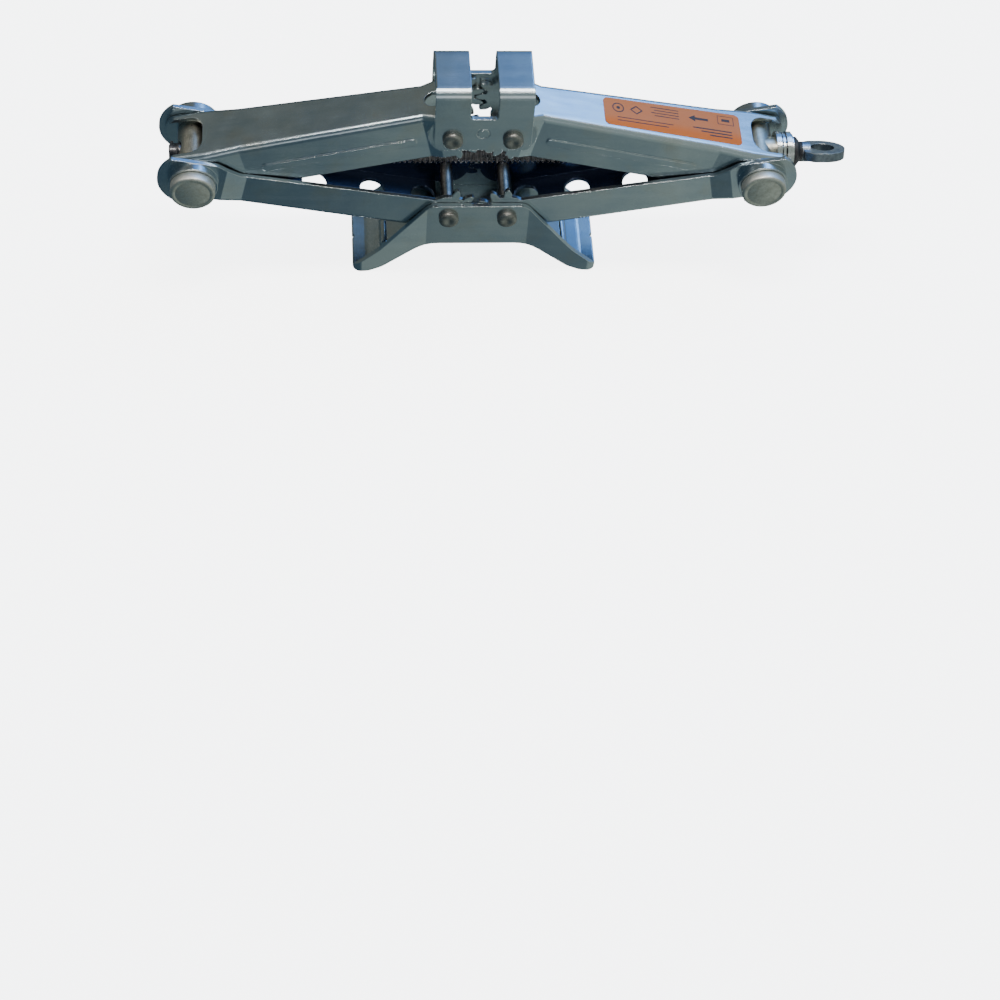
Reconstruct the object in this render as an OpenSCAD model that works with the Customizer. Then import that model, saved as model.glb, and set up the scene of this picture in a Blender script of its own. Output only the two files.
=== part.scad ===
// Car jack: a scissor jack of four pressed channel arms between a base bracket and a
// saddle bracket, closed by a lead screw between two trunnions.
// X runs along the lead screw (the drive eye is at +X), Y across the jack, Z up.
// The origin is on the ground under the middle of the base.

/* [Linkage] */
// Half the distance between the two geared pivots of a bracket
pivot_x = 17.2; // [16.5:0.1:18]
// Height of the base pivots above the ground
base_pivot_z = 45.4; // [44:0.1:48]
// Half the distance between the trunnions in the stored position
trunnion_x = 165; // [160:1:168]
// Rise from a base pivot to a trunnion, and from a trunnion to a saddle pivot
arm_rise = 31.2; // [28:0.1:36]

/* [Arms] */
// Thickness of the arm sheet
arm_sheet = 2.5; // [2:0.1:2.5]
// Outer radius of an upper arm's bends between web and flange
upper_bend = 4; // [3.5:0.5:5]
// Outer radius of a lower arm's bends between web and flange
lower_bend = 5; // [4:0.5:6]
// Distance of an upper arm's web face from the line between its pivots
upper_web = 14.5; // [13.5:0.1:15]
// Distance of a lower arm's web face from the line between its pivots
lower_web = 16.5; // [16:0.1:17]
// Half width over an upper arm's ears
upper_ear_y = 19; // [18.5:0.1:19]
// Half width over a lower arm's ears
lower_ear_y = 21.8; // [21.8:0.1:22.2]
// End radius of an upper arm's ears
upper_ear_r = 16.5; // [15:0.1:16.5]
// End radius of a lower arm's ears
lower_ear_r = 20.4; // [20:0.1:20.6]

/* [Gears] */
// Number of teeth on a full circle
gear_teeth = 12; // [12:1:12]
// Pressure angle of the teeth
pressure_angle = 25; // [24:1:26]
// Root radius
gear_root_r = 13.9; // [13.5:0.1:14]
// Tip radius
gear_tip_r = 19.8; // [19:0.1:19.9]
// Angle taken off each tooth for backlash
gear_backlash = 1.4; // [1:0.1:2]

/* [Base and saddle] */
// Thickness of the bracket sheet
bracket_sheet = 3; // [2.8:0.1:3]
// Half width over the base flanges at the pivots
base_y = 23.3; // [23.3:0.1:24]
// Half width over the base flanges at the feet
foot_y = 26; // [25:0.1:27]
// Half length of the base over its feet
foot_x = 73.5; // [71:0.5:75]
// Half length of the saddle
saddle_x = 27.8; // [27:0.1:29]
// Half width over the saddle flanges
saddle_y = 19.5; // [19.5:0.1:19.6]
// Height of the saddle's top above its pivots
saddle_top = 35; // [33:0.5:37]
// Depth of the saddle's flanges below its pivots
saddle_drop = 8.8; // [8:0.1:9]
// Half width of the slot across the saddle
slot_x = 7.8; // [7:0.1:8]
// Height of the slot's floor above the saddle pivots
slot_floor = 15.8; // [15:0.1:18]
// Radius of the rivet pins
rivet_r = 3.6; // [3.4:0.1:4]
// Radius of the rivet heads
rivet_head_r = 5.8; // [5.5:0.1:6]
// Height of the rivet heads
rivet_head_h = 3.2; // [2.5:0.1:3.5]

/* [Trunnions and screw] */
// Radius of the trunnion barrels
barrel_r = 9.25; // [9:0.05:9.5]
// Radius of the trunnion journals in the arm ears
journal_r = 8; // [7.5:0.1:8]
// Radius of the caps riveted on the trunnions
cap_r = 12.9; // [12:0.1:13.2]
// Distance of the near cap faces from the middle
near_cap_y = 32.4; // [31:0.1:33]
// Distance of the far cap faces from the middle
far_cap_y = 29.5; // [29:0.1:31]
// Radius of the lead screw over its thread
screw_r = 6.5; // [6:0.1:6.5]
// Length of the screw beyond the left trunnion's axis
screw_tail = 14; // [13:0.5:16]
// Radial gap of every running fit
running_gap = 0.05; // [0.02:0.01:0.1]
// Roll of the drive eye about the screw, negative with its near edge up
eye_roll = -30; // [-90:1:90]

/* [Hidden] */
$fn = 96;

arm_run = trunnion_x - pivot_x;
arm_l = sqrt(arm_run * arm_run + arm_rise * arm_rise);
arm_angle = atan(arm_rise / arm_run);
trunnion_z = base_pivot_z + arm_rise;
saddle_pivot_z = trunnion_z + arm_rise;

// Half widths over the arms' geared ends
upper_gear_y = 16.2;
lower_gear_y = 20;

// Plan of an upper arm: [distance from the trunnion, half width over the flanges]
upper_plan = [
    [-18, upper_ear_y], [10, upper_ear_y], [30, 17.1],
    [136, 13.8], [143, upper_gear_y], [152, upper_gear_y]
];
// Plan of a lower arm
lower_plan = [[-21, lower_ear_y], [18, lower_ear_y], [30, lower_gear_y], [148, lower_gear_y]];

// Side view of the arms: [distance from the trunnion, height over the pivot line]
upper_side = [
    [0, upper_web + 1], [arm_l, upper_web + 1], [arm_l, -17], [60, -17], [22, -15.6], [0, -upper_ear_r]
];
lower_ear_top = 14.4;
lower_side = [
    [0, lower_ear_top], [12, lower_ear_top], [27, 7],
    [arm_l, 9.7], [arm_l, -lower_web - 1], [0, -lower_web - 1]
];

// Collar raised on the outside of a lower arm's ears
ear_boss_r = 14.3;
boss_face_y = lower_ear_y + 4.5;

// Trunnion barrel between the upper ears, journals out to the caps, spigots in the caps
barrel_y = upper_ear_y - arm_sheet - 0.3;
journal_y = boss_face_y + 0.2;
cap_spigot_r = 5;
cap_spigot_y = journal_y + 2;

// Rib pressed out of the upper arms' flanges
rib_v = -3.2;
rib_r = 2.4;
rib_depth = 1;
rib_start = 10;
rib_end = 100;

// Thrust bearing, as distances from the right trunnion's axis
seat_s = 9.6;
race_t = 3;
ball_r = 1.9;
ball_groove_depth = 0.4;
ball_ring_r = 9.1;
ball_count = 12;
race_r = 11.8;
ball_s = seat_s + race_t + ball_r + running_gap - ball_groove_depth;
turning_race_s = ball_s + ball_r + running_gap - ball_groove_depth;
washer_s = turning_race_s + race_t;
washer_t = 1.2;
collar_s = washer_s + washer_t;
collar_end_s = collar_s + 6;
neck_r = 5;
spigot_r = 3.4;
hub_r = 5.9;
spigot_end_s = collar_end_s + 3.6;
plate_s = collar_end_s + 0.5;
eye_s = 38.5;
eye_r = 13.2;
eye_hole_r = 7;
eye_t = 5.3;

// Roll pin through the drive eye's neck
pin_r = 1.25;
pin_s = collar_s + 3;

// Pin through the screw's left end, which keeps the nut on
stop_r = 1;
stop_s = 12.7;

// --- Helpers -----------------------------------------------------------------

// Polygon corner i of points pts, rounded with radius r
function arc_corner(pts, i, r) =
    let (
        n = len(pts),
        p = pts[i],
        a = pts[(i + n - 1) % n] - p,
        b = pts[(i + 1) % n] - p,
        ua = a / norm(a),
        ub = b / norm(b),
        half = acos(max(-1, min(1, ua * ub))) / 2,
        mid = (ua + ub) / norm(ua + ub),
        centre = p + mid * r / sin(half),
        start = p + ua * r / tan(half) - centre,
        turn = (ua[0] * ub[1] - ua[1] * ub[0] > 0 ? -1 : 1) * (180 - 2 * half),
        steps = max(2, ceil(abs(turn) / 12))
    )
    [for (k = [0:steps])
        let (t = turn * k / steps)
        centre + [start[0] * cos(t) - start[1] * sin(t), start[0] * sin(t) + start[1] * cos(t)]];

// Outline with corner radii rr, 0 for a sharp corner
function rounded(pts, rr) =
    [for (i = [0:len(pts) - 1]) each (rr[i] > 0 ? arc_corner(pts, i, rr[i]) : [pts[i]])];

// 2D shape in X and Z, as thick as h, centred on the XZ plane
module side_extrude(h)
    rotate([90, 0, 0])
        linear_extrude(h, center = true)
            children();

// 2D shape in X and Z, from y0 to y1 on both sides of the jack
module both_sides(y0, y1)
    for (side = [0, 1])
        mirror([0, side, 0])
            translate([0, y1, 0])
                rotate([90, 0, 0])
                    linear_extrude(y1 - y0)
                        children();

// Cylinder along Y, centred
module cross_pin(r, l)
    rotate([90, 0, 0])
        cylinder(r = r, h = l, center = true);

// Cylinder along X, from s0 to s1
module screw_disc(r, s0, s1)
    translate([s0, 0, 0])
        rotate([0, 90, 0])
            cylinder(r = r, h = s1 - s0);

// Ring along X
module screw_ring(r, bore, s0, s1)
    difference() {
        screw_disc(r, s0, s1);
        screw_disc(bore, s0 - 1, s1 + 1);
    }

// --- Gear sectors -------------------------------------------------------------

base_circle_r = pivot_x * cos(pressure_angle);
function roll_angle(r) = sqrt(max(0, r * r / base_circle_r / base_circle_r - 1)) * 180 / PI;
function involute(r) = roll_angle(r) - atan(roll_angle(r) * PI / 180);
// Half the angle of a tooth at radius r
function tooth_half(r) =
    90 / gear_teeth - gear_backlash / 2 + involute(pivot_x) - involute(max(r, base_circle_r));
function polar(r, a) = [r * cos(a), r * sin(a)];

// One tooth about angle a
module tooth(a) {
    steps = 5;
    radii = [for (k = [0:steps]) base_circle_r + (gear_tip_r - base_circle_r) * k / steps];
    polygon(concat(
        [[0, 0], polar(gear_root_r - 1, a - tooth_half(base_circle_r))],
        [for (r = radii) polar(r, a - tooth_half(r))],
        [for (k = [steps:-1:0]) polar(radii[k], a + tooth_half(radii[k]))],
        [polar(gear_root_r - 1, a + tooth_half(base_circle_r))]
    ));
}

// Toothed sector about a pivot, with teeth at the listed angles
module gear_sector(angles) {
    circle(r = gear_root_r);
    for (a = angles)
        tooth(a);
}

// --- Arms, drawn with the trunnion at the origin and the arm along +X ----------

// Moves children onto the flange line from p to q, with x along it and y outward
module along_flange(p, q)
    translate([p[0], p[1], 0])
        rotate([0, 0, atan2(q[1] - p[1], q[0] - p[0])])
            children();

// Outline of a channel in plan, with its side faces moved in by t
function plan_outline(plan, t) = concat(
    [for (p = plan) [p[0], p[1] - t]],
    [for (i = [len(plan) - 1:-1:0]) [plan[i][0], t - plan[i][1]]]
);

// Takes the corner off between web and flange along the stretch from p to q of a plan.
// The cutter runs on past p and q by the two distances in past.
module bend_cutter(p, q, past, bend) {
    sink = 0.02;
    corner = [sink - bend, sink - bend];
    along_flange(p, q)
        translate([-past[0], 0, 0])
            rotate([90, 0, 90])
                linear_extrude(norm(q - p) + past[0] + past[1])
                    difference() {
                        translate(corner)
                            square(bend + 3);
                        translate(corner)
                            circle(r = bend);
                    }
}

// Channel that follows a plan, its web face at height web and its flanges drop deep
module channel(plan, web, drop, bend) {
    hollow = [for (i = [0:len(plan) - 1]) plan[i] + [i == 0 ? -1 : i == len(plan) - 1 ? 1 : 0, 0]];
    difference() {
        translate([0, 0, web - drop])
            linear_extrude(drop)
                polygon(plan_outline(plan, 0));
        translate([0, 0, web - drop - 1])
            linear_extrude(drop + 1 - arm_sheet)
                polygon(plan_outline(hollow, arm_sheet));
        for (side = [0, 1], i = [0:len(plan) - 2])
            mirror([0, side, 0])
                translate([0, 0, web])
                    bend_cutter(
                        plan[i], plan[i + 1], [for (k = [i, i + 1]) turns_in(plan, k) ? 6 : 0.6], bend
                    );
    }
}

// Whether the flanges turn towards the middle at point i of the plan, as they do past its ends
function turns_in(plan, i) =
    i == 0 || i == len(plan) - 1
        || cross(plan[i] - plan[i - 1], plan[i + 1] - plan[i]) < 0;

// Round-ended rib pressed out of the flanges between two distances along a stretch
module flange_rib(p, q, s0, s1)
    for (side = [0, 1])
        mirror([0, side, 0])
            along_flange(p, q)
                translate([0, rib_depth, rib_v])
                    rotate([90, 0, 0])
                        linear_extrude(rib_depth + 1)
                            polygon(rounded(
                                [[s0, -rib_r], [s1, -rib_r], [s1, rib_r], [s0, rib_r]],
                                [for (k = [0:3]) 0.98 * rib_r]
                            ));

module upper_arm(angles) {
    notch_r = 9;
    notch_y = 13.5;
    web_hole_u = 143.5;
    web_hole_r = 5.5;
    difference() {
        union() {
            intersection() {
                channel(upper_plan, upper_web, 2 * upper_web + 10, upper_bend);
                side_extrude(60) {
                    polygon(rounded(upper_side, [0, 0, 0, 30, 30, 0]));
                    circle(r = upper_ear_r);
                }
            }
            // geared inner ends
            both_sides(upper_gear_y - arm_sheet, upper_gear_y)
                translate([arm_l, 0])
                    gear_sector([for (a = angles) a - arm_angle]);
            flange_rib(upper_plan[2], upper_plan[3], rib_start, rib_end);
        }
        // notch of the web round the trunnion and the screw
        translate([0, 0, upper_web - upper_bend])
            linear_extrude(2 * upper_bend)
                polygon(rounded(
                    [[-40, -notch_y], [notch_r, -notch_y], [notch_r, notch_y], [-40, notch_y]],
                    [0, 8.5, 8.5, 0]
                ));
        translate([web_hole_u, 0, 0])
            cylinder(r = web_hole_r, h = 2 * upper_web);
        cross_pin(journal_r + running_gap, 60);
        translate([arm_l, 0, 0])
            cross_pin(rivet_r + running_gap, 60);
    }
}

// Round-ended hole across a web
module cross_slot(u, r, half_y) {
    for (side = [-1, 1])
        translate([u, side * (half_y - r), -40])
            cylinder(r = r, h = 40);
    translate([u - r, r - half_y, -40])
        cube([2 * r, 2 * (half_y - r), 40]);
}

module lower_arm(angles) {
    ear_plate_u = 11.5;
    difference() {
        union() {
            intersection() {
                mirror([0, 0, 1])
                    channel(lower_plan, lower_web, lower_web + 16, lower_bend);
                side_extrude(60)
                    polygon(rounded(lower_side, [0, 8, 10, 0, 0, 0]));
            }
            // round ears
            both_sides(lower_ear_y - arm_sheet, lower_ear_y)
                intersection() {
                    circle(r = lower_ear_r);
                    translate([-30, -30])
                        square([30 + ear_plate_u, 30 + lower_ear_top]);
                }
            both_sides(lower_ear_y - 1, boss_face_y)
                circle(r = ear_boss_r);
            both_sides(lower_gear_y - arm_sheet, lower_gear_y)
                translate([arm_l, 0])
                    gear_sector([for (a = angles) a + arm_angle]);
        }
        // the web stops short of the ears
        translate([-30, arm_sheet - lower_ear_y, -40])
            cube([46, 2 * (lower_ear_y - arm_sheet), 40]);
        for (u = [74, 109, 140])
            cross_slot(u, 7.5, 12.4);
        cross_pin(journal_r + running_gap, 60);
        translate([arm_l, 0, 0])
            cross_pin(rivet_r + running_gap, 60);
    }
}

// Puts an arm drawn along +X on the left, rising or falling towards the middle
module place_left(rise)
    translate([-trunnion_x, 0, trunnion_z])
        rotate([0, -rise * arm_angle, 0])
            children();

module place_right(rise)
    mirror([1, 0, 0])
        place_left(rise)
            children();

// Tooth angles count up from the line of centres; the two sides are half a tooth apart
module upper_arm_left() color("slategray") place_left(1) upper_arm([45, 15, -15, -45, -75]);
module upper_arm_right() color("lightslategray") place_right(1) upper_arm([30, 0, -30, -60, -90]);
module lower_arm_left() color("slategray") place_left(-1) lower_arm([-15, 15, 45, 75]);
module lower_arm_right() color("lightslategray") place_right(-1) lower_arm([0, 30, 60, 90]);

// Sticker on the web of the right upper arm
module instruction_label() {
    label_u0 = 16.3;
    label_u1 = 99.8;
    label_y0 = 11.9;
    label_y1 = 10.4;
    label_t = 0.15;
    color("darkorange")
        place_right(1)
            translate([0, 0, upper_web])
                linear_extrude(label_t)
                    polygon(rounded(
                        [[label_u0, -label_y0], [label_u1, -label_y1], [label_u1, label_y1], [label_u0, label_y0]],
                        [3, 3, 3, 3]
                    ));
}

// --- Base bracket --------------------------------------------------------------

// Lower and upper edge of the base in side view, right half
base_floor_z = 22.6;
base_lower = [[31, base_floor_z], [56, 3.2], [64, 0]];
base_upper = [[foot_x, 0], [foot_x, 4], [57.6, 18], [39, 41.3], [28.3, 55]];

module base_side() {
    left = [for (i = [len(base_lower) - 1:-1:0]) [-base_lower[i][0], base_lower[i][1]]];
    left_up = [for (i = [len(base_upper) - 1:-1:0]) [-base_upper[i][0], base_upper[i][1]]];
    pts = concat(left, base_lower, base_upper, left_up);
    polygon(rounded(pts, [8, 12, 24, 24, 12, 8, 1, 3, 40, 40, 9, 9, 40, 40, 3, 1]));
}

// Sheet that runs along the lower edge from foot to foot
module base_web_side() {
    t = bracket_sheet;
    outer = concat([for (i = [2:-1:0]) [-base_lower[i][0], base_lower[i][1]]], base_lower);
    inner = [
        [foot_x, 0], [foot_x, t], [64.6, t], [57.3, 3.2 + t], [32.1, base_floor_z + t],
        [-32.1, base_floor_z + t], [-57.3, 3.2 + t], [-64.6, t], [-foot_x, t], [-foot_x, 0]
    ];
    polygon(rounded(concat(outer, inner), [8, 12, 24, 24, 12, 8, 0, 0.8, 6, 9, 21, 21, 9, 6, 0.8, 0]));
}

module base_bracket() {
    t = bracket_sheet;
    outer = [[-foot_x, foot_y], [-30, base_y], [30, base_y], [foot_x, foot_y]];
    plan = rounded(concat(outer, [for (i = [3:-1:0]) [outer[i][0], -outer[i][1]]]), [5, 0, 0, 5, 5, 0, 0, 5]);
    bead_x = 54;
    bead_z = 7.2;
    bead_r = 3;
    bead_y = 10;
    color("cadetblue")
        difference() {
            union() {
                intersection() {
                    side_extrude(80)
                        base_side();
                    linear_extrude(60)
                        intersection() {
                            polygon(plan);
                            for (side = [0, 1])
                                mirror([0, side, 0])
                                    polygon(concat(outer, [for (i = [3:-1:0]) outer[i] - [0, t]]));
                        }
                }
                intersection() {
                    side_extrude(80)
                        base_web_side();
                    linear_extrude(60)
                        polygon(plan);
                }
                for (side = [-1, 1])
                    translate([side * bead_x, 0, bead_z]) {
                        cross_pin(bead_r, 2 * bead_y);
                        for (end = [-1, 1])
                            translate([0, end * bead_y, 0])
                                sphere(r = bead_r);
                    }
            }
            // notch in the middle of each foot's edge
            for (side = [-1, 1])
                translate([side * foot_x, 0, -1])
                    cylinder(r = 1.5, h = 10);
            // the beads stay above the underside
            for (side = [0, 1])
                mirror([side, 0, 0])
                    side_extrude(40)
                        polygon(concat(
                            [[base_lower[0][0], base_floor_z - 8]],
                            base_lower,
                            [[base_lower[2][0], -8]]
                        ));
            for (side = [-1, 1])
                translate([side * pivot_x, 0, base_pivot_z])
                    cross_pin(rivet_r, 60);
        }
}

// --- Saddle bracket --------------------------------------------------------------

module saddle_section() {
    t = bracket_sheet;
    r = 7;
    difference() {
        polygon(rounded(
            [[-saddle_y, -saddle_drop], [saddle_y, -saddle_drop], [saddle_y, saddle_top], [-saddle_y, saddle_top]],
            [0, 0, r, r]
        ));
        polygon(rounded(
            [
                [t - saddle_y, -saddle_drop - 1], [saddle_y - t, -saddle_drop - 1],
                [saddle_y - t, saddle_top - t], [t - saddle_y, saddle_top - t]
            ],
            [0, 0, r - t, r - t]
        ));
    }
}

module saddle_bracket() {
    tab_x = 4;
    tab_r = 3;
    mark_r = 3.6;
    color("cadetblue")
        translate([0, 0, saddle_pivot_z])
            difference() {
                union() {
                    intersection() {
                        rotate([90, 0, 90])
                            linear_extrude(2 * saddle_x, center = true)
                                saddle_section();
                        side_extrude(60)
                            polygon(rounded(
                                [
                                    [-saddle_x, -saddle_drop], [saddle_x, -saddle_drop],
                                    [saddle_x, saddle_top], [-saddle_x, saddle_top]
                                ],
                                [4.5, 4.5, 1, 1]
                            ));
                    }
                    intersection() {
                        translate([tab_x, 0, -saddle_drop + 0.8])
                            both_sides(saddle_y - bracket_sheet, saddle_y)
                                circle(r = tab_r);
                        translate([-10, -30, -saddle_drop - 5])
                            cube([20, 60, 10]);
                    }
                }
                side_extrude(60)
                    polygon(rounded(
                        [
                            [-slot_x, slot_floor], [slot_x, slot_floor],
                            [slot_x, saddle_top + 1], [-slot_x, saddle_top + 1]
                        ],
                        [2, 2, 0, 0]
                    ));
                // ring pressed into the near flange
                translate([0, -saddle_y, 4.5])
                    rotate([90, 0, 0])
                        difference() {
                            cylinder(r = mark_r + 0.25, h = 0.6, center = true);
                            cylinder(r = mark_r - 0.25, h = 1, center = true);
                        }
                for (side = [-1, 1])
                    translate([side * pivot_x, 0, 0])
                        cross_pin(rivet_r, 60);
            }
}

// --- Rivet pins --------------------------------------------------------------------

// Rivet pin across flanges whose outer faces are half_y from the middle
module rivet_pin(half_y) {
    edge = 0.6;
    profile = [
        [0, 0], [rivet_r, 0], [rivet_r, half_y], [rivet_head_r, half_y],
        [rivet_head_r, half_y + rivet_head_h - edge], [rivet_head_r - edge, half_y + rivet_head_h],
        [0, half_y + rivet_head_h]
    ];
    for (side = [90, -90])
        rotate([side, 0, 0])
            rotate_extrude()
                polygon(profile);
}

module base_pin_left() color("silver") translate([-pivot_x, 0, base_pivot_z]) rivet_pin(base_y);
module base_pin_right() color("silver") translate([pivot_x, 0, base_pivot_z]) rivet_pin(base_y);
module saddle_pin_left() color("silver") translate([-pivot_x, 0, saddle_pivot_z]) rivet_pin(saddle_y);
module saddle_pin_right() color("silver") translate([pivot_x, 0, saddle_pivot_z]) rivet_pin(saddle_y);

// --- Trunnions -----------------------------------------------------------------------

// Turned trunnion: barrel between the upper ears, journals through all the ears
module trunnion_body()
    for (side = [90, -90])
        rotate([side, 0, 0])
            rotate_extrude()
                polygon([
                    [0, 0], [barrel_r, 0], [barrel_r, barrel_y], [journal_r, barrel_y],
                    [journal_r, journal_y], [cap_spigot_r, journal_y],
                    [cap_spigot_r, cap_spigot_y], [0, cap_spigot_y]
                ]);

// Cap riveted on one end of a trunnion: side is 90 for the near end, -90 for the far end
module trunnion_cap(side, face_y) {
    edge = 1;
    rotate([side, 0, 0])
        rotate_extrude()
            polygon([
                [cap_spigot_r, journal_y], [cap_r, journal_y], [cap_r, face_y - edge],
                [cap_r - edge, face_y], [0, face_y], [0, cap_spigot_y], [cap_spigot_r, cap_spigot_y]
            ]);
}

module trunnion_caps() {
    trunnion_cap(90, near_cap_y);
    trunnion_cap(-90, far_cap_y);
}

module trunnion_nut()
    color("darkkhaki")
        translate([-trunnion_x, 0, trunnion_z])
            difference() {
                trunnion_body();
                screw_disc(screw_r + running_gap, -20, 20);
            }

module trunnion_nut_caps() color("darkkhaki") translate([-trunnion_x, 0, trunnion_z]) trunnion_caps();

module trunnion_bearing_block() {
    seat_r = 8.8;
    color("darkkhaki")
        translate([trunnion_x, 0, trunnion_z])
            difference() {
                union() {
                    trunnion_body();
                    screw_disc(seat_r, 0, seat_s);
                }
                screw_disc(screw_r + running_gap, -20, 20);
            }
}

module trunnion_block_caps() color("darkkhaki") translate([trunnion_x, 0, trunnion_z]) trunnion_caps();

// --- Screw and thrust bearing ------------------------------------------------------------

module at_bearing()
    translate([trunnion_x, 0, trunnion_z])
        children();

module lead_screw() {
    tip = 1.5;
    left_end = -2 * trunnion_x - screw_tail;
    color("dimgray")
        at_bearing()
            difference() {
                rotate([0, 90, 0])
                    rotate_extrude()
                        polygon([
                            [0, left_end], [screw_r - tip, left_end], [screw_r, left_end + tip],
                            [screw_r, washer_s], [spigot_r, washer_s], [spigot_r, spigot_end_s], [0, spigot_end_s]
                        ]);
                translate([left_end + screw_tail - stop_s, 0, 0])
                    cross_pin(stop_r, 40);
                translate([pin_s, 0, 0])
                    rotate([eye_roll, 0, 0])
                        cylinder(r = pin_r, h = 40, center = true);
            }
}

module screw_stop_pin() color("dimgray") translate([-trunnion_x - stop_s, 0, trunnion_z]) cross_pin(stop_r, 16);

module race(s0, s1)
    difference() {
        screw_ring(race_r, screw_r, s0, s1);
        translate([ball_s, 0, 0])
            rotate([0, 90, 0])
                rotate_extrude()
                    translate([ball_ring_r, 0])
                        circle(r = ball_r + running_gap);
    }

module fixed_thrust_race()
    color("silver")
        at_bearing()
            difference() {
                race(seat_s, seat_s + race_t);
                screw_disc(screw_r + running_gap, 0, 20);
            }

module turning_thrust_race() color("silver") at_bearing() race(turning_race_s, washer_s);

module around_ball_ring()
    for (i = [0:ball_count - 1])
        rotate([i * 360 / ball_count, 0, 0])
            translate([ball_s, 0, ball_ring_r])
                children();

module thrust_balls() color("gainsboro") at_bearing() around_ball_ring() sphere(r = ball_r);

module ball_cage() {
    cage_t = 1.6;
    color("goldenrod")
        at_bearing()
            difference() {
                screw_ring(race_r - 0.5, screw_r + 0.3, ball_s - cage_t / 2, ball_s + cage_t / 2);
                around_ball_ring()
                    rotate([0, 90, 0])
                        cylinder(r = ball_r, h = 3, center = true);
            }
}

module thrust_washer() color("silver") at_bearing() screw_ring(10.4, spigot_r, washer_s, collar_s);

module drive_collar() {
    flange_r = 8.7;
    color("black")
        at_bearing()
            rotate([0, 90, 0])
                rotate_extrude()
                    polygon([
                        [neck_r, collar_s], [flange_r, collar_s], [flange_r, collar_s + 2.4],
                        [hub_r, collar_s + 4.6], [hub_r, collar_end_s], [neck_r, collar_end_s]
                    ]);
}

module drive_eye()
    color("dimgray")
        at_bearing()
            difference() {
                union() {
                    screw_disc(neck_r, collar_s, collar_end_s + 1);
                    screw_disc(hub_r, collar_end_s, spigot_end_s + 1);
                    rotate([eye_roll, 0, 0])
                        linear_extrude(eye_t, center = true)
                            difference() {
                                union() {
                                    translate([eye_s, 0])
                                        circle(r = eye_r);
                                    polygon(rounded(
                                        [
                                            [plate_s, -eye_r + 4], [plate_s + 5, -eye_r], [eye_s + 1, -eye_r],
                                            [eye_s + 1, eye_r], [plate_s + 5, eye_r], [plate_s, eye_r - 4]
                                        ],
                                        [1, 5, 0, 0, 5, 1]
                                    ));
                                }
                                translate([eye_s, 0])
                                    circle(r = eye_hole_r);
                            }
                }
                screw_disc(spigot_r, 0, spigot_end_s);
                translate([pin_s, 0, 0])
                    rotate([eye_roll, 0, 0])
                        cylinder(r = pin_r, h = 40, center = true);
            }

module eye_roll_pin()
    color("silver")
        at_bearing()
            translate([pin_s, 0, 0])
                rotate([eye_roll, 0, 0])
                    cylinder(r = pin_r, h = 2 * neck_r - 1, center = true);

base_bracket();
base_pin_left();
base_pin_right();
lower_arm_left();
lower_arm_right();
trunnion_nut();
trunnion_nut_caps();
trunnion_bearing_block();
trunnion_block_caps();
upper_arm_left();
upper_arm_right();
instruction_label();
saddle_bracket();
saddle_pin_left();
saddle_pin_right();
lead_screw();
screw_stop_pin();
fixed_thrust_race();
turning_thrust_race();
thrust_balls();
ball_cage();
thrust_washer();
drive_collar();
drive_eye();
eye_roll_pin();
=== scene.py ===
"""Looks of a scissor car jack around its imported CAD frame. Lengths are in metres, angles in degrees."""

import math

import bmesh
import bpy
from mathutils import Matrix, Vector


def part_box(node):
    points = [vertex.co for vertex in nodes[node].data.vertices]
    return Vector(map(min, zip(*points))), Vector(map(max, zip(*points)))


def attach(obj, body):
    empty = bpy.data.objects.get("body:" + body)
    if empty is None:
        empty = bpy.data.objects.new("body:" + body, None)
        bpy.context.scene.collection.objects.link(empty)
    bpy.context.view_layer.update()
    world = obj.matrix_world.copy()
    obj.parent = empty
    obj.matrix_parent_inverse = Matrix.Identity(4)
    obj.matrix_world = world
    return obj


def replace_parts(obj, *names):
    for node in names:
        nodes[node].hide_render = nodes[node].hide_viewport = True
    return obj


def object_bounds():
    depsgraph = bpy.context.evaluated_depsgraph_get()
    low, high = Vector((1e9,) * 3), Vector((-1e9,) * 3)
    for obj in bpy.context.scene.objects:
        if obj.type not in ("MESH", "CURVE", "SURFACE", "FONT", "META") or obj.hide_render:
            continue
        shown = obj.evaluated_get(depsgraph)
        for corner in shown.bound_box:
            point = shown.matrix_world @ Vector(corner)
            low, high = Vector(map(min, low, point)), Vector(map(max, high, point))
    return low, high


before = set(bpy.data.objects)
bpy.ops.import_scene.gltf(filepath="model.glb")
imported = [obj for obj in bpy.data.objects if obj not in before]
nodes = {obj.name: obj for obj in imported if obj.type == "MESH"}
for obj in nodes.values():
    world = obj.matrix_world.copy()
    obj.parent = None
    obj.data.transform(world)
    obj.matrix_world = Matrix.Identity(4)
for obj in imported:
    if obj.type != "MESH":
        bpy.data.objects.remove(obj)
cad_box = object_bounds()

MM = 0.001


def node_box(name):
    """Centre and size of a CAD node at rest."""
    low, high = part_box(name)
    return (low + high) / 2, high - low


# --- Key places, read from the frame -----------------------------------------

RIVETS = {
    "base_pin_left": "base", "base_pin_right": "base",
    "saddle_pin_left": "saddle", "saddle_pin_right": "saddle",
}
CAPS = {"trunnion_nut_caps": "trunnion_left", "trunnion_block_caps": "trunnion_right"}
CAP_INNER_Y = 26.5 * MM
RIVET_SHANK_R = 3.6 * MM
RIVET_HEAD_H = 3.2 * MM

screw_low, screw_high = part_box("lead_screw")
screw_axis_z = (screw_low.z + screw_high.z) / 2
SCREW_R = (screw_high.z - screw_low.z) / 2
THREAD_ROOT_R = 5.35 * MM
THREAD_PITCH = 3 * MM
TRUNNION_X = 165 * MM
THREAD_END_X = TRUNNION_X - 20 * MM
SCREW_SHOULDER_X = TRUNNION_X + 18.7 * MM
SPIGOT_R = 3.4 * MM
INNER_FACE_Y = 17.6 * MM  # half width inside the lower arms' channels

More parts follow.
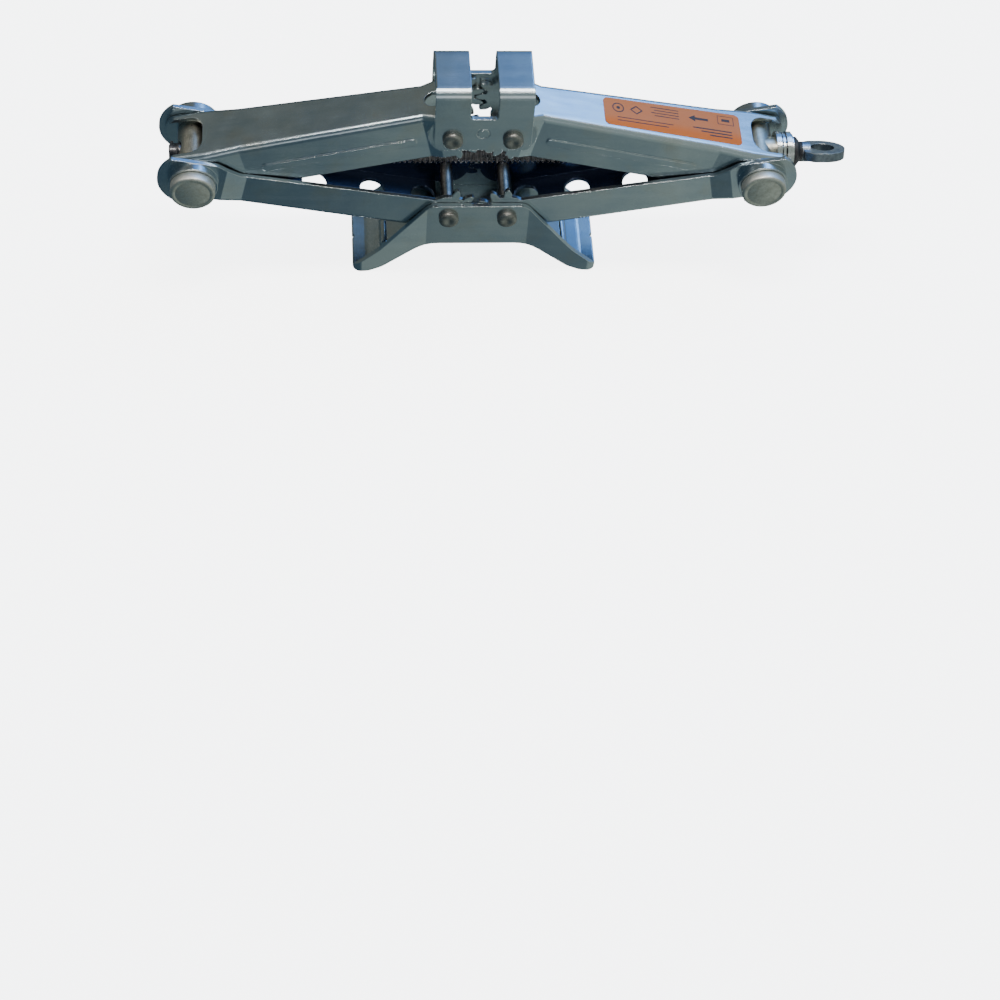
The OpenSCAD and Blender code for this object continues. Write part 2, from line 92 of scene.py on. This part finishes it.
# Plane of the label on the right upper arm, whose line of pivots climbs away from the trunnion
ARM_RISE = 31.2
ARM_RUN = 147.8
ARM_ANGLE = math.atan2(ARM_RISE, ARM_RUN)
LABEL_HEIGHT = 14.66 * MM


# --- Meshes --------------------------------------------------------------------


def new_piece(name, bm, material, body, smooth_angle=35):
    """Turns a bmesh into an object that rides on a CAD body."""
    bmesh.ops.recalc_face_normals(bm, faces=bm.faces)
    mesh = bpy.data.meshes.new(name)
    bm.to_mesh(mesh)
    bm.free()
    piece = bpy.data.objects.new(name, mesh)
    bpy.context.scene.collection.objects.link(piece)
    mesh.materials.append(material)
    mesh.shade_smooth()
    mesh.set_sharp_from_angle(angle=math.radians(smooth_angle))
    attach(piece, body)
    return piece


def lathe(bm, profile, start, direction, segments=64):
    """Closed turned solid: profile is (distance along, radius) pairs from tip to tip."""
    turn = Vector((0, 0, 1)).rotation_difference(Vector(direction)).to_matrix().to_4x4()
    place = Matrix.Translation(start) @ turn
    rings = []
    for along, radius in profile:
        if radius == 0:
            rings.append([bm.verts.new(place @ Vector((0, 0, along)))])
            continue
        rings.append([
            bm.verts.new(place @ Vector((
                radius * math.cos(2 * math.pi * k / segments),
                radius * math.sin(2 * math.pi * k / segments),
                along,
            )))
            for k in range(segments)
        ])
    for a, b in zip(rings, rings[1:]):
        for k in range(segments):
            k2 = (k + 1) % segments
            corners = [a[k % len(a)], a[k2 % len(a)], b[k2 % len(b)], b[k % len(b)]]
            face = list(dict.fromkeys(corners))
            if len(face) > 2:
                bm.faces.new(face)


# --- Materials --------------------------------------------------------------------


class Shader:
    """A node material with one Principled surface, built up by short calls."""

    def __init__(self, name, **surface):
        self.material = bpy.data.materials.new(name)
        self.material.use_nodes = True
        self.tree = self.material.node_tree
        self.tree.nodes.clear()
        self.surface = self.add("ShaderNodeBsdfPrincipled")
        output = self.add("ShaderNodeOutputMaterial")
        self.join(self.surface.outputs[0], output.inputs["Surface"])
        self.place = self.add("ShaderNodeTexCoord").outputs["Object"]
        for socket, value in surface.items():
            self.surface.inputs[socket.replace("_", " ")].default_value = value

    def add(self, kind, **settings):
        node = self.tree.nodes.new(kind)
        for key, value in settings.items():
            setattr(node, key, value)
        return node

    def join(self, source, target):
        self.tree.links.new(source, target)

    def noise(self, size, detail=3.0, roughness=0.55, stretch=(1, 1, 1), turn=0.0):
        """Noise whose features are about size metres across, longer along a stretched axis."""
        mapping = self.add("ShaderNodeMapping")
        mapping.inputs["Rotation"].default_value = (0, math.radians(turn), 0)
        mapping.inputs["Scale"].default_value = [1 / s for s in stretch]
        texture = self.add("ShaderNodeTexNoise")
        texture.inputs["Scale"].default_value = 1 / size
        texture.inputs["Detail"].default_value = detail
        texture.inputs["Roughness"].default_value = roughness
        self.join(self.place, mapping.inputs["Vector"])
        self.join(mapping.outputs[0], texture.inputs["Vector"])
        return texture.outputs["Fac"]

    def spread(self, value, low, high, out_low=0.0, out_high=1.0):
        """Maps low..high to out_low..out_high, clamped."""
        node = self.add("ShaderNodeMapRange")
        node.clamp = True
        self.join(value, node.inputs["Value"])
        limits = {"From Min": low, "From Max": high, "To Min": out_low, "To Max": out_high}
        for socket, number in limits.items():
            node.inputs[socket].default_value = number
        return node.outputs[0]

    def math(self, operation, a, b):
        node = self.add("ShaderNodeMath", operation=operation)
        for socket, value in zip(node.inputs, (a, b)):
            if isinstance(value, (int, float)):
                socket.default_value = value
            else:
                self.join(value, socket)
        return node.outputs[0]

    def mix(self, factor, a, b):
        """Colour mix of two colours or outputs."""
        node = self.add("ShaderNodeMix", data_type="RGBA")
        self.join(factor, node.inputs[0])
        for socket, value in ((node.inputs[6], a), (node.inputs[7], b)):
            if isinstance(value, tuple):
                socket.default_value = (*value, 1)
            else:
                self.join(value, socket)
        return node.outputs[2]

    def edges(self, radius, samples=4):
        """1 along edges and corners within radius, 0 on flat faces."""
        bevel = self.add("ShaderNodeBevel", samples=samples)
        bevel.inputs["Radius"].default_value = radius
        flat = self.add("ShaderNodeNewGeometry")
        dot = self.add("ShaderNodeVectorMath", operation="DOT_PRODUCT")
        self.join(bevel.outputs[0], dot.inputs[0])
        self.join(flat.outputs["Normal"], dot.inputs[1])
        return self.spread(dot.outputs["Value"], 0.99, 0.8)

    def color(self, value):
        self.join(value, self.surface.inputs["Base Color"])

    def rough(self, value):
        self.join(value, self.surface.inputs["Roughness"])

    def bump(self, height, distance, strength=1.0, soft_edge=0.0):
        node = self.add("ShaderNodeBump")
        node.inputs["Distance"].default_value = distance
        node.inputs["Strength"].default_value = strength
        self.join(height, node.inputs["Height"])
        if soft_edge:
            bevel = self.add("ShaderNodeBevel", samples=4)
            bevel.inputs["Radius"].default_value = soft_edge
            self.join(bevel.outputs[0], node.inputs["Normal"])
        self.join(node.outputs[0], self.surface.inputs["Normal"])


def zinc_plate(name, light, shade, warm, roughness=0.24, inside=None):
    """Zinc-plated sheet: soft passivate clouds, fine grain, and bright edges painted on as highlights,
    patchy like wear.

    inside is the half width of the channel, whose inner faces are painted a deep blue-black as shade.
    """
    s = Shader(name, Metallic=1.0)
    clouds = s.noise(0.045, detail=4)
    drawn = s.noise(0.006, detail=1, stretch=(16, 1, 1))
    grain = s.noise(0.0009, detail=1, roughness=0.4)
    wear_and_edge_sheen = s.edges(0.0006)
    base = s.mix(s.spread(clouds, 0.35, 0.68), light, shade)
    base = s.mix(s.spread(s.noise(0.02, detail=5), 0.52, 0.74, 0, 0.5), base, warm)
    base = s.mix(s.spread(grain, 0.35, 0.7, 0, 0.06), base, (0.12, 0.14, 0.16))
    base = s.mix(s.spread(drawn, 0.42, 0.75, 0, 0.14), base, (0.78, 0.80, 0.81))
    # painted highlight: edges and corners lightened in patches, partly wear, partly painted edge sheen
    base = s.mix(s.math("MULTIPLY", wear_and_edge_sheen, s.spread(s.noise(0.004), 0.3, 0.55)), base, (0.80, 0.81, 0.80))
    # painted shade: the channel's inner faces, between the flanges, are darkened to deep blue
    if inside:
        axes = s.add("ShaderNodeSeparateXYZ")
        s.join(s.place, axes.inputs[0])
        half_width = s.math("ABSOLUTE", axes.outputs["Y"], 0.0)
        painted_inside_shade = s.spread(half_width, inside + 0.1 * MM, inside - 0.1 * MM, 0, 0.9)
        base = s.mix(painted_inside_shade, base, (0.05, 0.07, 0.14))
    s.color(base)
    s.rough(s.spread(s.noise(0.012, detail=4), 0.3, 0.7, roughness - 0.02, roughness + 0.03))
    s.bump(s.math("ADD", drawn, s.math("MULTIPLY", grain, 0.02)), 0.0003, 0.3, soft_edge=0.0006)
    return s.material


def turned_steel(name, light, dark, roughness, rings=0.0, pitted=0.3):
    """Turned or headed steel with fine tool marks, pits, and bright rims painted on as edge highlights."""
    s = Shader(name, Metallic=1.0)
    mottle = s.noise(0.003, detail=5, roughness=0.65)
    fine = s.noise(0.0007, detail=2)
    wear_and_edge_sheen = s.edges(0.0005)
    base = s.mix(s.spread(mottle, 0.32, 0.68), light, dark)
    base = s.mix(s.spread(fine, 0.35, 0.75, 0, pitted), base, (0.05, 0.045, 0.04))
    # painted highlight: edges lightened toward pale steel, partly wear, partly painted edge sheen
    base = s.mix(s.math("MULTIPLY", wear_and_edge_sheen, 0.8), base, (0.85, 0.85, 0.82))
    s.color(base)
    s.rough(s.spread(mottle, 0.3, 0.7, roughness - 0.06, roughness + 0.14))
    s.bump(s.math("ADD", fine, s.math("MULTIPLY", mottle, 1.5)), 0.00008, 0.5, soft_edge=0.0003)
    return s.material


def greased_steel(name):
    """Black oxide under grease: dark flanks, glints where the grease is thick."""
    s = Shader(name, Metallic=0.85, Coat_Weight=0.5, Coat_Roughness=0.12)
    film = s.noise(0.004, detail=4)
    wear_and_edge_sheen = s.edges(0.0004)
    base = s.mix(s.spread(film, 0.35, 0.7), (0.035, 0.036, 0.042), (0.11, 0.10, 0.095))
    # painted glint: edges lightened to grey, partly wear, partly painted edge sheen
    base = s.mix(s.math("MULTIPLY", wear_and_edge_sheen, 0.5), base, (0.42, 0.42, 0.42))
    s.color(base)
    s.rough(s.spread(film, 0.3, 0.7, 0.22, 0.5))
    s.bump(s.noise(0.0009, detail=2), 0.00008, 0.4)
    return s.material


def matt_black(name):
    s = Shader(name, Metallic=0.0, Specular_IOR_Level=0.4)
    dust = s.noise(0.0015, detail=4)
    wear_and_edge_sheen = s.edges(0.0004)
    base = s.mix(s.spread(dust, 0.4, 0.75), (0.011, 0.011, 0.012), (0.03, 0.029, 0.028))
    # painted sheen: edges lightened to grey, partly wear, partly painted edge sheen
    base = s.mix(s.math("MULTIPLY", wear_and_edge_sheen, 0.35), base, (0.14, 0.14, 0.14))
    s.color(base)
    s.rough(s.spread(dust, 0.3, 0.7, 0.42, 0.62))
    s.bump(s.noise(0.0006, detail=2), 0.00008, 0.5)
    return s.material


def label_film(name, near, far):
    """Printed plastic film, paler on its far half, faded in clouds, with fine creases."""
    s = Shader(name, Metallic=0.0, Specular_IOR_Level=0.25)
    fade = s.noise(0.03, detail=3)
    across = s.add("ShaderNodeSeparateXYZ")
    s.join(s.place, across.inputs[0])
    base = s.mix(s.spread(across.outputs["Y"], -0.008, -0.002), near, far)
    base = s.mix(s.spread(fade, 0.35, 0.7, 0, 0.3), base, (0.50, 0.13, 0.02))
    base = s.mix(s.spread(s.noise(0.0009), 0.5, 0.8, 0, 0.2), base, (0.30, 0.08, 0.02))
    s.color(base)
    s.rough(s.spread(fade, 0.3, 0.7, 0.35, 0.5))
    s.bump(s.noise(0.008, detail=2, stretch=(3, 1, 1)), 0.0003, 0.35)
    return s.material


def printed_ink(name):
    s = Shader(name, Metallic=0.0)
    wear_and_edge_sheen = s.noise(0.0008, detail=3)
    s.color(s.mix(s.spread(wear_and_edge_sheen, 0.5, 0.75), (0.02, 0.015, 0.012), (0.10, 0.04, 0.02)))
    s.rough(s.spread(wear_and_edge_sheen, 0.3, 0.7, 0.4, 0.6))
    s.bump(wear_and_edge_sheen, 0.00002, 0.3)
    return s.material


ZINC = zinc_plate("zinc_plate", (0.58, 0.63, 0.63), (0.42, 0.50, 0.56), (0.56, 0.53, 0.44))
# lower arms: zinc with painted shade on the channel's inner faces
INSIDE_SHADED_ZINC = zinc_plate(
    "zinc_plate_inside_shade", (0.56, 0.61, 0.62), (0.40, 0.48, 0.55), (0.52, 0.50, 0.42), inside=INNER_FACE_Y
)
RIVET = turned_steel("rivet_steel", (0.46, 0.44, 0.40), (0.30, 0.28, 0.25), 0.38, pitted=0.4)
TRUNNION = turned_steel("trunnion_steel", (0.56, 0.53, 0.44), (0.42, 0.40, 0.33), 0.33)
CAP_FACE = turned_steel("cap_steel", (0.80, 0.78, 0.70), (0.64, 0.62, 0.54), 0.5, pitted=0.15)
GREASED = greased_steel("greased_screw")
BEARING = turned_steel("bearing_steel", (0.80, 0.80, 0.78), (0.62, 0.62, 0.60), 0.16, pitted=0.1)
COLLAR = matt_black("black_collar")
EYE = turned_steel("eye_steel", (0.34, 0.38, 0.42), (0.20, 0.23, 0.27), 0.32)
LABEL = label_film("label_film", (0.50, 0.115, 0.001), (0.44, 0.15, 0.05))
INK = printed_ink("label_ink")

NODE_MATERIALS = {
    ZINC: ["base_bracket", "saddle_bracket", "upper_arm_left", "upper_arm_right"],
    INSIDE_SHADED_ZINC: ["lower_arm_left", "lower_arm_right"],
    RIVET: ["base_pin_left", "base_pin_right", "saddle_pin_left", "saddle_pin_right", "eye_roll_pin"],
    TRUNNION: ["trunnion_nut", "trunnion_nut_caps", "trunnion_bearing_block", "trunnion_block_caps"],
    GREASED: ["lead_screw", "screw_stop_pin"],
    BEARING: ["fixed_thrust_race", "turning_thrust_race", "thrust_balls", "ball_cage", "thrust_washer"],
    COLLAR: ["drive_collar"],
    EYE: ["drive_eye"],
    LABEL: ["instruction_label"],
}
for material, names in NODE_MATERIALS.items():
    for name in names:
        nodes[name].data.materials.clear()
        nodes[name].data.materials.append(material)


# --- Detailed pieces ------------------------------------------------------------------


def add_rivet(node, body):
    """Headed pin with rounded, dimpled heads in place of a CAD pin."""
    middle, size = node_box(node)
    radius, half = size.x / 2, size.y / 2
    head = [
        (0.35 * MM, 0), (0.35 * MM, 1.2 * MM), (0, 1.9 * MM), (0, radius - 1.6 * MM),
        (0.2 * MM, radius - 0.9 * MM), (0.7 * MM, radius - 0.25 * MM), (1.4 * MM, radius),
        (RIVET_HEAD_H, radius), (RIVET_HEAD_H, RIVET_SHANK_R),
    ]
    profile = head + [(2 * half - along, r) for along, r in reversed(head)]
    bm = bmesh.new()
    lathe(bm, profile, middle - Vector((0, half, 0)), (0, 1, 0))
    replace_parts(new_piece(node + "_head", bm, RIVET, body, 50), node)


def add_caps(node, body):
    """The two caps of a trunnion, with rolled rims and a turned ring; the far one is lower and smaller."""
    low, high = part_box(node)
    axis_x, axis_z = (low.x + high.x) / 2, (low.z + high.z) / 2
    radius = (high.x - low.x) / 2
    bm = bmesh.new()
    for side, face, radius in ((-1, -low.y, radius), (1, high.y - 0.8 * MM, 0.8 * radius)):
        depth = face - CAP_INNER_Y
        profile = [
            (0, 0), (0, radius - 0.3 * MM), (0.3 * MM, radius), (depth - 1.2 * MM, radius),
            (depth - 0.7 * MM, radius - 0.12 * MM), (depth - 0.3 * MM, radius - 0.45 * MM),
            (depth - 0.06 * MM, radius - 0.95 * MM), (depth, radius - 1.4 * MM),
            (depth, radius - 2.6 * MM), (depth - 0.15 * MM, radius - 2.8 * MM),
            (depth - 0.15 * MM, radius - 3.1 * MM), (depth - 0.05 * MM, radius - 3.3 * MM),
            (depth - 0.05 * MM, 0),
        ]
        lathe(bm, profile, Vector((axis_x, side * CAP_INNER_Y, axis_z)), (0, side, 0), 96)
    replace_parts(new_piece(node + "_turned", bm, CAP_FACE, body, 50), node)


def add_screw():
    """Lead screw with its real trapezoidal thread, plain where it runs in the bearing block."""
    start = screw_low.x + THREAD_PITCH
    steps = 28
    turns = int((THREAD_END_X - start) / THREAD_PITCH)
    crest = SCREW_R - 0.05 * MM
    flank = [(0.0, THREAD_ROOT_R), (0.3, THREAD_ROOT_R), (0.5, crest), (0.8, crest)]
    bm = bmesh.new()
    rows = []
    for step in range(turns * steps + 1):
        angle = 2 * math.pi * step / steps
        fade = min(1, step / steps, (turns * steps - step) / steps)
        row = []
        for along, radius in flank:
            radius = THREAD_ROOT_R + (radius - THREAD_ROOT_R) * fade
            row.append(bm.verts.new(Vector((
                start + THREAD_PITCH * (step / steps + along),
                radius * math.cos(angle),
                screw_axis_z + radius * math.sin(angle),
            ))))
        rows.append(row)
    for a, b in zip(rows, rows[1:]):
        for k in range(len(flank) - 1):
            bm.faces.new((a[k], a[k + 1], b[k + 1], b[k]))
    for step in range((turns - 1) * steps):
        a, a2 = rows[step][-1], rows[step + 1][-1]
        b, b2 = rows[step + steps][0], rows[step + steps + 1][0]
        bm.faces.new((a, b, b2, a2))
    core = THREAD_ROOT_R - 0.05 * MM
    lathe(bm, [
        (0, 0), (0, core - 0.8 * MM), (0.8 * MM, core), (THREAD_END_X - screw_low.x - THREAD_PITCH, core),
        (THREAD_END_X - screw_low.x, SCREW_R), (SCREW_SHOULDER_X - screw_low.x, SCREW_R),
        (SCREW_SHOULDER_X - screw_low.x, SPIGOT_R), (screw_high.x - screw_low.x, SPIGOT_R),
        (screw_high.x - screw_low.x, 0),
    ], Vector((screw_low.x, 0, screw_axis_z)), (1, 0, 0))
    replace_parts(new_piece("threaded_screw", bm, GREASED, "screw", 30), "lead_screw")


def on_label(along, across, lift=0.0):
    """Point on the label, given along the arm from its trunnion and across it, in millimetres."""
    height = LABEL_HEIGHT + lift
    return Vector((
        TRUNNION_X - along * MM * math.cos(ARM_ANGLE) + height * math.sin(ARM_ANGLE),
        across * MM,
        screw_axis_z + along * MM * math.sin(ARM_ANGLE) + height * math.cos(ARM_ANGLE),
    ))


def print_shape(bm, outline, hole=None):
    """Thin printed shape from outline points in millimetres; hole is an outline with as many points."""
    rings = (outline, hole or [])
    layers = [
        [[bm.verts.new(on_label(u, y, lift)) for u, y in ring] for ring in rings]
        for lift in (0, 0.03 * MM)
    ]
    for outer, cut in layers:
        if cut:
            for k in range(len(outer)):
                k2 = (k + 1) % len(outer)
                bm.faces.new((outer[k], outer[k2], cut[k2], cut[k]))
        else:
            bm.faces.new(outer)
    for ring in range(2 if hole else 1):
        low_ring, high_ring = layers[0][ring], layers[1][ring]
        for k in range(len(low_ring)):
            k2 = (k + 1) % len(low_ring)
            bm.faces.new((low_ring[k], low_ring[k2], high_ring[k2], high_ring[k]))


def ring_points(u, y, radius, count=32):
    angles = [2 * math.pi * k / count for k in range(count)]
    return [(u + radius * math.cos(a), y + radius * math.sin(a)) for a in angles]


def box_points(u0, u1, y0, y1):
    return [(u0, y0), (u1, y0), (u1, y1), (u0, y1)]


def add_label_print():
    """Generic marks on the label: a ring, a rhombus, frames, rules and an arrow, with no lettering."""
    bm = bmesh.new()
    print_shape(bm, ring_points(91, 3.6, 3.6), ring_points(91, 3.6, 2.9))
    print_shape(bm, ring_points(91, 3.6, 1.1))
    print_shape(
        bm,
        [(76, 3.6), (80, 7), (84, 3.6), (80, 0.2)],
        [(77.2, 3.6), (80, 6), (82.8, 3.6), (80, 1.2)],
    )
    print_shape(bm, box_points(20, 30, 2.6, 9.4), box_points(20.4, 29.6, 3, 9))
    print_shape(bm, box_points(22.5, 27.5, 5, 7))
    print_shape(bm, [(36, 3.4), (36, 5.2), (44, 5.2), (44, 6.8), (48, 4.3), (44, 1.8), (44, 3.4)])
    for k in range(4):
        print_shape(bm, box_points(54, 71 - 2 * (k % 2), 7.6 - 2.1 * k, 8.2 - 2.1 * k))
    for k in range(3):
        print_shape(bm, box_points(22, 46 - 5 * k, -3.2 - 2.3 * k, -2.3 - 2.3 * k))
    for k in range(2):
        print_shape(bm, box_points(58 + 3 * k, 92, -4 - 2.4 * k, -3.4 - 2.4 * k))
    new_piece("label_print", bm, INK, "upper_arm_right")


for node, body in RIVETS.items():
    add_rivet(node, body)
for node, body in CAPS.items():
    add_caps(node, body)
add_screw()
add_label_print()


# --- Floor, light and camera ---------------------------------------------------------


def add_floor():
    bm = bmesh.new()
    bmesh.ops.create_grid(bm, x_segments=8, y_segments=8, size=6)
    mesh = bpy.data.meshes.new("floor")
    bm.to_mesh(mesh)
    bm.free()
    floor = bpy.data.objects.new("floor", mesh)
    bpy.context.scene.collection.objects.link(floor)
    floor.location.z = cad_box[0].z - 0.2 * MM
    s = Shader("pale_floor", Roughness=0.9)
    s.color(s.mix(s.spread(s.noise(0.4), 0.3, 0.7), (0.90, 0.90, 0.90), (0.93, 0.93, 0.93)))
    s.surface.inputs["Specular IOR Level"].default_value = 0.1
    s.surface.inputs["Emission Color"].default_value = (1, 1, 1, 1)
    s.surface.inputs["Emission Strength"].default_value = 5
    mesh.materials.append(s.material)
    floor.visible_glossy = False


def add_panel(name, toward, distance, width, height, power, tint, target=Vector((0, 0, 0.08))):
    """Soft area light in direction toward, given as azimuth from +Y to +X and elevation."""
    azimuth, elevation = (math.radians(a) for a in toward)
    direction = Vector((
        math.sin(azimuth) * math.cos(elevation),
        math.cos(azimuth) * math.cos(elevation),
        math.sin(elevation),
    ))
    light = bpy.data.lights.new(name, "AREA")
    light.shape = "RECTANGLE"
    light.size = width
    light.size_y = height
    light.energy = power
    light.color = tint
    panel = bpy.data.objects.new(name, light)
    bpy.context.scene.collection.objects.link(panel)
    panel.location = target + direction * distance
    panel.rotation_mode = "QUATERNION"
    panel.rotation_quaternion = (-direction).to_track_quat("-Z", "Y")
    return panel


def add_world():
    """Room reflected in the metal: sky blue behind on the right, grey on the left, dark in front and below.

    Seen directly, past the floor's edge, it is as pale as the floor.
    """
    world = bpy.data.worlds.new("studio")
    bpy.context.scene.world = world
    world.use_nodes = True
    tree = world.node_tree
    tree.nodes.clear()
    new, join = tree.nodes.new, tree.links.new
    background = new("ShaderNodeBackground")
    join(background.outputs[0], new("ShaderNodeOutputWorld").inputs["Surface"])
    axes = new("ShaderNodeSeparateXYZ")
    join(new("ShaderNodeTexCoord").outputs["Generated"], axes.inputs[0])

    def ramp(value, low, high):
        node = new("ShaderNodeMapRange")
        node.interpolation_type = "SMOOTHSTEP"
        join(value, node.inputs["Value"])
        node.inputs["From Min"].default_value = low
        node.inputs["From Max"].default_value = high
        return node.outputs[0]

    def mix(factor, a, b):
        node = new("ShaderNodeMix")
        node.data_type = "RGBA"
        join(factor, node.inputs[0])
        for socket, value in ((node.inputs[6], a), (node.inputs[7], b)):
            if isinstance(value, tuple):
                socket.default_value = (*value, 1)
            else:
                join(value, socket)
        return node.outputs[2]

    upper = mix(ramp(axes.outputs["X"], 0.055, 0.105), (0.13, 0.15, 0.14), (0.17, 0.42, 1.0))
    front = mix(ramp(axes.outputs["X"], -0.05, 0.2), (0.07, 0.11, 0.13), (0.36, 0.42, 0.40))
    upper = mix(ramp(axes.outputs["Y"], 0.0, 0.35), front, upper)
    below = mix(ramp(axes.outputs["X"], -0.05, 0.2), (0.05, 0.09, 0.12), (0.34, 0.41, 0.39))
    room = mix(ramp(axes.outputs["Z"], -0.15, 0.25), below, upper)
    seen_directly = new("ShaderNodeLightPath").outputs["Is Camera Ray"]
    join(mix(seen_directly, room, (4.8, 4.8, 4.8)), background.inputs["Color"])


def add_camera():
    """Camera at the viewing angle: height above the horizon, turn to the right of +Y, and a small roll."""
    azimuth, elevation, roll = math.radians(8.3), math.radians(55.9), math.radians(6.07)
    lens, sensor = 79.2, 36.0
    distance = 1.286
    aim = Vector((0, 0, 0.0741))
    across, above = -21.7 / 2200, 345.1 / 2200  # where the aim point stands in the picture, as slopes
    forward = Vector((
        math.sin(azimuth) * math.cos(elevation),
        math.cos(azimuth) * math.cos(elevation),
        -math.sin(elevation),
    ))
    right = Vector((math.cos(azimuth), -math.sin(azimuth), 0))
    up = right.cross(forward)
    right, up = (
        right * math.cos(roll) + up * math.sin(roll),
        up * math.cos(roll) - right * math.sin(roll),
    )
    data = bpy.data.cameras.new("camera")
    data.lens = lens
    data.sensor_width = sensor
    data.clip_start = 0.05
    data.clip_end = 50
    camera = bpy.data.objects.new("camera", data)
    bpy.context.scene.collection.objects.link(camera)
    place = Matrix((right, up, -forward)).transposed().to_4x4()
    place.translation = aim - (right * across + up * above + forward) * distance
    camera.matrix_world = place
    bpy.context.scene.camera = camera


add_floor()
add_world()
add_camera()
add_panel("overhead", (0, 88), 1.3, 0.9, 0.22, 15, (1.0, 0.99, 0.96))
add_panel("sky", (44, 50), 1.4, 0.7, 0.7, 7, (0.28, 0.54, 1.0))
add_panel("left_fill", (-70, 40), 1.5, 0.7, 0.7, 2.5, (1.0, 0.97, 0.92))
add_panel("front_fill", (185, 30), 1.8, 1.2, 0.5, 2, (0.95, 0.98, 1.0))
